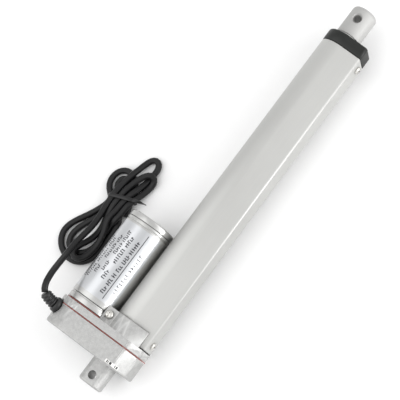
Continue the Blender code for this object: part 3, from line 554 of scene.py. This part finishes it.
# ---- motor --------------------------------------------------------------------------------------
MOTOR_Y, MOTOR_R = 34.0, 18.75
front_ring = lathe("motor_ring", rounded(
    [(35.2, 5.2), (35.2, MOTOR_R), (39.2, MOTOR_R), (39.4, MOTOR_R - 0.5), (40.3, MOTOR_R - 0.5),
     (40.3, 5.2)], [0, 0.5, 0.3, 0.2, 0.2, 0]), (0, MOTOR_Y, 0), (1, 0, 0), 144)
front_ring.data.set_sharp_from_angle(angle=radians(40))
stand(front_ring, LOOKS["motor_steel"], "motor_front_ring")
can = lathe("motor_barrel", rounded(
    [(40.6, 17.4), (40.6, MOTOR_R), (104.4, MOTOR_R), (104.7, MOTOR_R - 0.35),
     (105.2, MOTOR_R - 0.35), (105.5, MOTOR_R), (107.4, MOTOR_R), (107.4, 17.4)],
    [0, 0.6, 0.2, 0.15, 0.15, 0.2, 0.3, 0]), (0, MOTOR_Y, 0), (1, 0, 0), 144, closed=True)
can.data.set_sharp_from_angle(angle=radians(40))
stand(can, LOOKS["motor_steel"], "motor_can")
bell = lathe("motor_bell", rounded(
    [(107.7, 4.8), (107.7, MOTOR_R), (112.3, MOTOR_R), (112.3, 13.0), (111.6, 12.4),
     (111.6, 6.2), (112.3, 5.6), (112.3, 0.4)],
    [0, 0.3, 1.6, 0.4, 0.4, 0.4, 0.4, 0]), (0, MOTOR_Y, 0), (1, 0, 0), 144)
bell.data.set_sharp_from_angle(angle=radians(40))
stand(bell, LOOKS["motor_steel"], "motor_end_bell")

# ---- label on the motor -------------------------------------------------------------------------
def on_motor(x, turn, out):
    """A point over the can: x, angle from straight up towards -Y, and height over its surface."""
    radius = MOTOR_R + out
    return place(x, MOTOR_Y - radius * sin(turn), radius * cos(turn))


def motor_patch(x_span, turn_span, out, steps):
    """A thin curved plate on the can."""
    vertices, faces = [], []
    for level in (0.0, out):
        for i in range(steps + 1):
            turn = turn_span[0] + (turn_span[1] - turn_span[0]) * i / steps
            vertices += [on_motor(x_span[0], turn, level), on_motor(x_span[1], turn, level)]
    base = 2 * (steps + 1)
    for i in range(steps):
        a, b, c, d = 2 * i, 2 * i + 1, 2 * i + 3, 2 * i + 2
        faces += [(a, b, c, d), (base + a, base + d, base + c, base + b),
                  (a, d, base + d, base + a), (b, base + b, base + c, c)]
    last = 2 * steps
    faces += [(0, base, base + 1, 1), (last, last + 1, base + last + 1, base + last)]
    return vertices, faces


def merged(name, parts, smooth=True):
    """One piece from several (vertices, faces) parts."""
    vertices, faces = [], []
    for part_vertices, part_faces in parts:
        start = len(vertices)
        vertices += part_vertices
        faces += [tuple(start + i for i in face) for face in part_faces]
    return mesh_object(name, vertices, faces, smooth)


label = merged("label_foil", [motor_patch((44.6, 103.0), (-1.15, 1.05), 0.05, 60)])
label.data.set_sharp_from_angle(angle=radians(40))
stand(label, FOIL)

PRINT_OUT = 0.09                     # height of the print over the can
# rows of generic strokes: angle, stroke height and width, space to the next, first x, and how
# many strokes each word has, with 0 for a gap
ROWS = [(0.75, 3.0, 0.6, 1.9, 54.0, (7, 6)), (0.335, 2.9, 0.75, 1.05, 49.5, (3, 3, 2, 3, 4, 6)),
        (0.03, 2.9, 0.75, 1.05, 58.0, (4, 0, 7, 5)), (-0.20, 2.7, 0.6, 0.95, 63.0, (5, 0, 6, 6)),
        (-0.43, 2.6, 0.6, 0.95, 59.0, (4, 0, 8, 4)), (-0.66, 2.5, 0.6, 0.95, 54.0, (7, 8, 5)),
        (-0.88, 2.5, 0.6, 0.95, 53.0, (8, 6, 2, 5))]
strokes = [motor_patch((46.4, 101.0), (0.49, 0.52), PRINT_OUT, 2)]
chance = np.random.default_rng(7)
for turn, height, wide, space, x, words in ROWS:
    half = height / MOTOR_R / 2
    for letters in words:
        if not letters:
            x += 5.0
            continue
        for _ in range(letters):
            low = turn - half * float(chance.choice([1.0, 1.0, 0.55]))
            strokes.append(motor_patch((x, x + wide), (low, turn + half), PRINT_OUT, 2))
            if chance.random() < 0.75:
                rung = turn + half * float(chance.choice([-0.85, 0.0, 0.8]))
                strokes.append(motor_patch((x, x + wide + 0.8), (rung - 0.017, rung + 0.017),
                                           PRINT_OUT, 1))
            x += wide + space
        x += 1.3
stand(merged("label_marks", strokes, smooth=False), PRINT)


# ---- castings and boot --------------------------------------------------------------------------
CASTING_TOP, CASTING_SIDE = 20.8, 20.6   # the flat faces' height and the narrow side's distance
CREASE_Y, SIDE_Z = 12.4, 9.1             # where the facets meet the flat faces and the side
CASTING_CORNER = 2.4


def casting_outline(grow):
    """(y, z): round about the motor, flat front and back, two facets and a narrow side."""
    top, side = CASTING_TOP + grow, CASTING_SIDE + grow
    run, drop = CASTING_SIDE - CREASE_Y, CASTING_TOP - SIDE_Z
    length = sqrt(run * run + drop * drop)
    reach = drop / length * CASTING_SIDE + run / length * SIDE_Z + grow
    crease = (reach - run / length * top) / (drop / length)
    edge = (reach - drop / length * side) / (run / length)
    line = [(MOTOR_Y + top * cos(a), top * sin(a))
            for a in (pi * (k / 48 - 0.5) for k in range(49))]
    corners = [line[-1], (-crease, top), (-side, edge), (-side, -edge), (-crease, -top), line[0]]
    for before, c, after in zip(corners, corners[1:], corners[2:]):
        line += [tuple(point) for point in eased(before, c, after, CASTING_CORNER, 7)]
    return line


def lug_outline(grow):
    """(y, z): a round bar with two flats, its four edges eased."""
    radius, flat = 9.62 + grow, 8.42 + grow
    line = [(radius * cos(a), max(-flat, min(flat, radius * sin(a))))
            for a in (2 * pi * k / 120 for k in range(120))]
    for _ in range(3):
        line = [tuple((before[i] + 2 * at[i] + after[i]) / 4 for i in (0, 1))
                for before, at, after in zip(line[-1:] + line[:-1], line, line[1:] + line[:1])]
    return line


housing_form = along("housing_form", [(x, casting_outline(grow)) for x, grow in (
    (11.18, -1.5), (11.32, -0.9), (11.7, -0.4), (12.2, -0.1), (12.8, 0.02), (27.6, 0.02))],
    closed=False)
lug_form = along("lug_form", [(x, lug_outline(grow)) for x, grow in (
    (-7.22, -1.7), (-7.1, -1.2), (-6.8, -0.7), (-6.3, -0.3), (-5.6, 0.0), (13.0, 0.0))],
    closed=False)
refined("gearbox_housing", carve(housing_form, lug_form, operation="UNION"))
refined("gearbox_cover", along("cover_form", [
    (28.5, casting_outline(0.02)), (46.6, casting_outline(0.02))], closed=False))


# a small sticker folded over the crease at the gearbox's edge
def sticker_point(x, y, out):
    """A point over the castings' top: flat to the crease, then falling to the narrow side."""
    slope = (CASTING_TOP - SIDE_Z) / (CASTING_SIDE - CREASE_Y)
    z = CASTING_TOP + min(0.0, y + CREASE_Y) * slope
    return place(x, y, z + out)


def sticker_patch(x0, x1, y0, y1, out):
    """A thin plate on the castings' top, folded where it crosses the crease."""
    line = [y0] + ([-CREASE_Y] if y0 < -CREASE_Y < y1 else []) + [y1]
    vertices = [sticker_point(x, y, level) for level in (-0.1, out) for y in line
                for x in (x0, x1)]
    n = 2 * len(line)
    faces = []
    for i in range(len(line) - 1):
        a, b, c, d = 2 * i, 2 * i + 1, 2 * i + 3, 2 * i + 2
        faces += [(a, b, c, d), (n + a, n + d, n + c, n + b), (a, d, n + d, n + a),
                  (b, n + b, n + c, c)]
    faces += [(0, n, n + 1, 1), (n - 2, n - 1, 2 * n - 1, 2 * n - 2)]
    return vertices, faces


stand(merged("edge_sticker", [sticker_patch(12.6, 15.0, -15.6, -5.6, 0.06)], smooth=False),
      STICKER)
stand(merged("sticker_marks", [sticker_patch(12.8, 14.8, y, y + wide, 0.1)
                               for y, wide in ((-15.2, 0.9), (-13.9, 0.5), (-11.0, 1.7),
                                               (-8.6, 0.5), (-7.6, 0.8))], smooth=False), PRINT)


BOOT_TILT = radians(38)              # out of the gearbox's round end, up from the horizontal
BOOT_X = 24
BEND_START, BEND_RUN = 24, 9.6       # the boot bends forward past its collar
# (distance from the motor's axis, radius) along the boot: collar, then four ribs
boot_rings = [(12.0, 2.5), (19.0, 2.6), (19.0, 5.2), (19.3, 5.6), (22.2, 5.7), (23.4, 5.5),
              (24.0, 5.0), (24.1, 4.0)]
for rib in range(4):
    first = 24.3 + rib * 2.25
    wide = 4.55 - 0.12 * rib
    boot_rings += [(first, 3.7), (first + 0.25, 3.75), (first + 0.45, wide - 0.25),
                   (first + 0.7, wide), (first + 1.35, wide), (first + 1.65, wide - 0.25),
                   (first + 1.85, 3.7)]
boot_rings += [(33.0, 3.6), (33.4, 3.4), (33.6, 3.0)]
loops = []
for distance, radius in boot_rings:
    bend = max(0.0, (distance - BEND_START) / BEND_RUN)
    turn = atan2(4 * bend, BEND_RUN)
    middle = Vector((BOOT_X + 2 * bend ** 2, MOTOR_Y + distance * cos(BOOT_TILT),
                     distance * sin(BOOT_TILT)))
    out = Vector((sin(turn), cos(turn) * cos(BOOT_TILT), cos(turn) * sin(BOOT_TILT)))
    across = Vector((0, -sin(BOOT_TILT), cos(BOOT_TILT)))
    side_on = out.cross(across)
    loops.append([place(*(middle + (across * cos(angle) + side_on * sin(angle)) * radius))
                  for angle in (2 * pi * k / 40 for k in range(40))])
boot = mesh_object("cable_boot", *skin(loops))
boot.data.set_sharp_from_angle(angle=radians(60))
stand(boot, finish("boot_rubber", (0.009, 0.009, 0.0095), 0.34, 0.0, 1500, bump=0.15,
                  spread=0.25), "strain_relief")


# ---- screws -------------------------------------------------------------------------------------
def pan_screw(node, head, direction, radius, height, shank_radius, length, turn):
    """A domed head with a cross recess on its shank, turned by an angle.

    head is the middle of the head's underside, and direction points into the work.
    """
    direction = Vector(direction)
    head = Vector(head)
    profile = [(length, 0.2), (length, shank_radius), (0, shank_radius), (0, radius * 0.97),
               (-0.25 * height, radius)]
    profile += [(-height * (0.35 + 0.65 * sin(t)), radius * (0.30 + 0.70 * cos(t)))
                for t in (0.25, 0.5, 0.75, 1.0, 1.25, 1.5)]
    profile.append((-height, 0.2))
    screw = lathe("screw_" + node, profile, head, direction, 48)
    side = direction.orthogonal().normalized()
    over = direction.cross(side)
    a = side * cos(turn) + over * sin(turn)
    b = direction.cross(a)
    middle = head - direction * height
    slot = (radius * 0.62, radius * 0.13, height * 0.62)
    screw = carve(screw, box_tool("slot_a", middle, slot, (a, b, direction)),
                  box_tool("slot_b", middle, slot, (b, a, direction)))
    screw.data.set_sharp_from_angle(angle=radians(35))
    stand(screw, LOOKS["screw_steel"], node)


for node, x, turn in (("cap_side_screw", 289.3, 0.4), ("tube_side_screw", 40.7, 0.9)):
    pan_screw(node, (x, -20.5, 0), (0, 1, 0), 2.9, 1.8, 1.4, 6, turn)
pan_screw("collar_screw", (40.6, 15.0, 12.6), (0, 0, -1), 3.1, 1.9, 1.25, 3.8, 0.65)
for index, (y, z) in enumerate(((-10.2, 17.2), (-10.2, -17.2), (37.0, 17.0), (37.0, -17.0)), 1):
    pan_screw(f"gearbox_screw_{index}", (13.9, y, z), (1, 0, 0), 2.7, 1.9, 1.45, 18.5,
              0.3 + 0.4 * index)

# ---- tie ----------------------------------------------------------------------------------------
TIE_WIDTH, TIE_THICK = 3.0, 0.7
BUNDLE_Y, BUNDLE_HALF = 72.2, 10.6   # middle and half width of the bundle with the band on it
BUNDLE_Z, BUNDLE_RISE = 5.45, 5.15   # the same upwards, over the floor


def squarer(value, power):
    """A sine or cosine pushed out, so that a round turns into a round with flatter sides."""
    return abs(value) ** power * (1 if value > 0 else -1)


def strap(middle_line, across_of):
    """A flat strap along a line; across_of gives the direction of its width at each point."""
    loops = []
    for i, point in enumerate(middle_line):
        ahead = (middle_line[min(i + 1, len(middle_line) - 1)]
                 - middle_line[max(i - 1, 0)]).normalized()
        across = across_of(i)
        across = (across - ahead * across.dot(ahead)).normalized()
        face = ahead.cross(across)
        loop = []
        for k in range(12):
            angle = 2 * pi * k / 12
            loop.append(place(*(point + across * TIE_WIDTH / 2 * squarer(cos(angle), 0.5)
                                + face * TIE_THICK / 2 * sin(angle))))
        loops.append(loop)
    return skin(loops)


def waist_x(y):
    """The tie's slant over the bundle."""
    return 112.6 + (82.0 - y) * 0.34


bundle = []
for k in range(73):
    angle = radians(-100) + 2 * pi * k / 72
    y = BUNDLE_Y + BUNDLE_HALF * squarer(cos(angle), 0.55)
    z = BUNDLE_Z + BUNDLE_RISE * squarer(sin(angle), 0.7)
    bundle.append(Vector((waist_x(y), y, z - FLOOR_DROP)))
tail = [Vector((waist_x(63) + 2.4 * t, 63.6 - 11.6 * t, 9.6 + 1.9 * sin(2.6 * t) - FLOOR_DROP))
        for t in (k / 16 for k in range(17))]


def tail_across(i):
    """The tail twists as it leaves the bundle."""
    twist = i / 16 * 1.9
    return Vector((1, 0.2, 0)) * cos(twist) + Vector((0, 0.2, 1)) * sin(twist)


tie = merged("cable_tie", [strap(bundle, lambda i: Vector((1, 0.3, 0))),
                           strap(tail, tail_across)])
tie.data.set_sharp_from_angle(angle=radians(60))
stand(tie, LOOKS["tie_plastic"], "cord_tie")

# ---- stage --------------------------------------------------------------------------------------
def area_light(name, at, aim, size, power):
    """A square softbox at a place, turned to what it lights."""
    lamp = bpy.data.objects.new(name, bpy.data.lights.new(name, "AREA"))
    lamp.data.size = size
    lamp.data.energy = power
    lamp.location = at
    lamp.rotation_euler = (Vector(aim) - Vector(at)).to_track_quat("-Z", "Y").to_euler()
    bpy.context.scene.collection.objects.link(lamp)


area_light("key", (-0.55, 0.55, 1.0), (0, 0, 0), 1.4, 6)
area_light("fill", (0.5, -0.8, 0.45), (0, 0, 0), 1.0, 4)
area_light("low_side", (0.1, -1.1, 0.16), (0, 0, 0.02), 0.6, 7)
world = bpy.data.worlds.new("studio")
bpy.context.scene.world = world
world.use_nodes = True
world.node_tree.nodes["Background"].inputs["Color"].default_value = (1, 1, 1, 1)
world.node_tree.nodes["Background"].inputs["Strength"].default_value = 0.95
bpy.context.scene.view_settings.view_transform = "Standard"
floor = mesh_object("floor", [(-6, -6, 0), (6, -6, 0), (6, 6, 0), (-6, 6, 0)], [(0, 1, 2, 3)],
                    smooth=False)
floor.data.materials.append(finish("pale_floor", (0.88, 0.88, 0.88), 0.6, 0.0, 60, spread=0.01,
                                   bump=0.0, smudge=3))

stand(cable, LOOKS["cable_rubber"], "lead_cord", "cord_hank")
